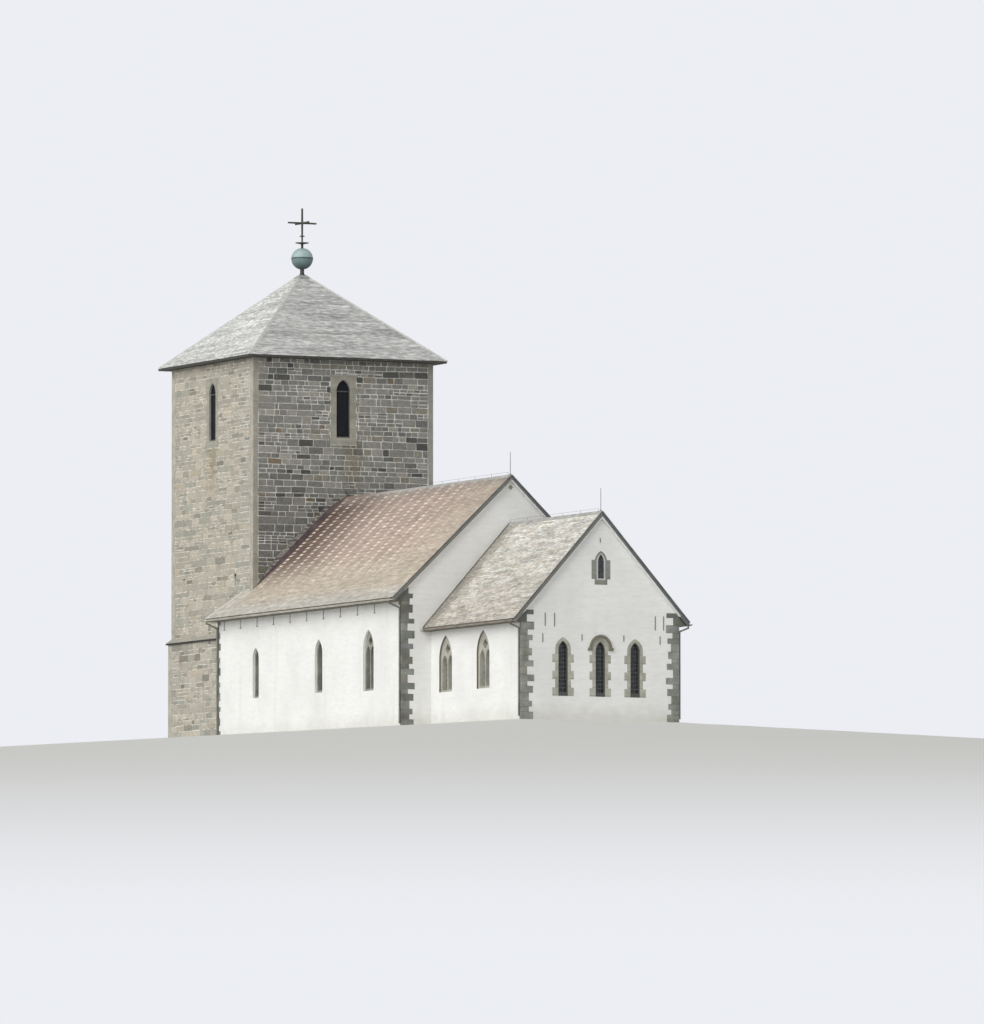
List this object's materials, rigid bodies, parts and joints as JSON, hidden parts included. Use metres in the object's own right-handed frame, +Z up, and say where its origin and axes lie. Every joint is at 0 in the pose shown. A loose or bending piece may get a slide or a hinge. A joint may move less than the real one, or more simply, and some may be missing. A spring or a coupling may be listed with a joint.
{
  "type": "small stone church",
  "caption": "Small medieval stone church: square west tower with a pyramid roof and ball finial, rendered nave and lower chancel with steep slate roofs.",
  "frame": {"origin": "on the ground, below the middle of the building's overall length and width", "axes": "+Z up, -Y along the church towards the chancel gable, +Y towards the tower, -X towards the side with the slit in the tower wall"},
  "size_m": [13.16, 39.27, 27.385],
  "materials": {
    "tower_stone": "coursed rubble with light mortar",
    "tower_stone_dark": "dark coursed rubble with light mortar",
    "dressed_stone": "smooth dressed stone",
    "quoin_stone": "dark dressed stone",
    "grey_window_stone": "painted window stone",
    "course_slate": "slate slabs",
    "floor_stone": "matte flags",
    "lime_render": "matte limewash",
    "tower_slate": "grey slate",
    "nave_slate": "brown slate with light dots",
    "chancel_slate": "mottled grey slate",
    "floor_wood": "bare boards",
    "shutter_wood": "dark painted boards",
    "door_wood": "tarred boards",
    "dark_board": "grey painted boards",
    "brown_flashing": "dark brown sheet",
    "green_copper": "weathered copper",
    "iron": "black iron",
    "ridge_zinc": "weathered zinc",
    "gutter_zinc": "brown painted metal",
    "window_glass": "dark leaded glass"
  },
  "bodies": {
    "root": {"tower_east_wall": "tower_stone_dark", "tower_west_wall": "tower_stone", "tower_south_wall": "tower_stone", "tower_north_wall": "tower_stone", "tower_course": "course_slate", "tower_floor": "floor_stone", "belfry_floor": "floor_wood", "belfry_surrounds": "dressed_stone", "belfry_shutters": "shutter_wood", "west_portal": "dressed_stone", "west_door": "door_wood", "tower_roof_east": "tower_slate", "tower_roof_west": "tower_slate", "tower_roof_south": "tower_slate", "tower_roof_north": "tower_slate", "finial_post": "iron", "finial_ball": "green_copper", "finial_cross": "iron", "nave_south_wall": "lime_render", "nave_north_wall": "lime_render", "nave_east_gable": "lime_render", "nave_floor": "floor_stone", "nave_roof_south": "nave_slate", "nave_roof_north": "nave_slate", "nave_bargeboards": "dark_board", "nave_flashing": "brown_flashing", "nave_quoins": "quoin_stone", "nave_window_stone": "grey_window_stone", "nave_window_glass": "window_glass", "chancel_south_wall": "lime_render", "chancel_north_wall": "lime_render", "chancel_east_gable": "lime_render", "chancel_floor": "floor_stone", "chancel_roof_south": "chancel_slate", "chancel_roof_north": "chancel_slate", "chancel_bargeboards": "dark_board", "chancel_quoins": "quoin_stone", "chancel_window_stone": "grey_window_stone", "chancel_window_glass": "window_glass", "east_window_stone": "quoin_stone", "east_window_glass": "window_glass", "ridge_caps": "ridge_zinc", "gutters": "gutter_zinc", "downpipes": "gutter_zinc", "lightning_rods": "iron", "wall_irons": "iron"}
  },
  "joints": []
}
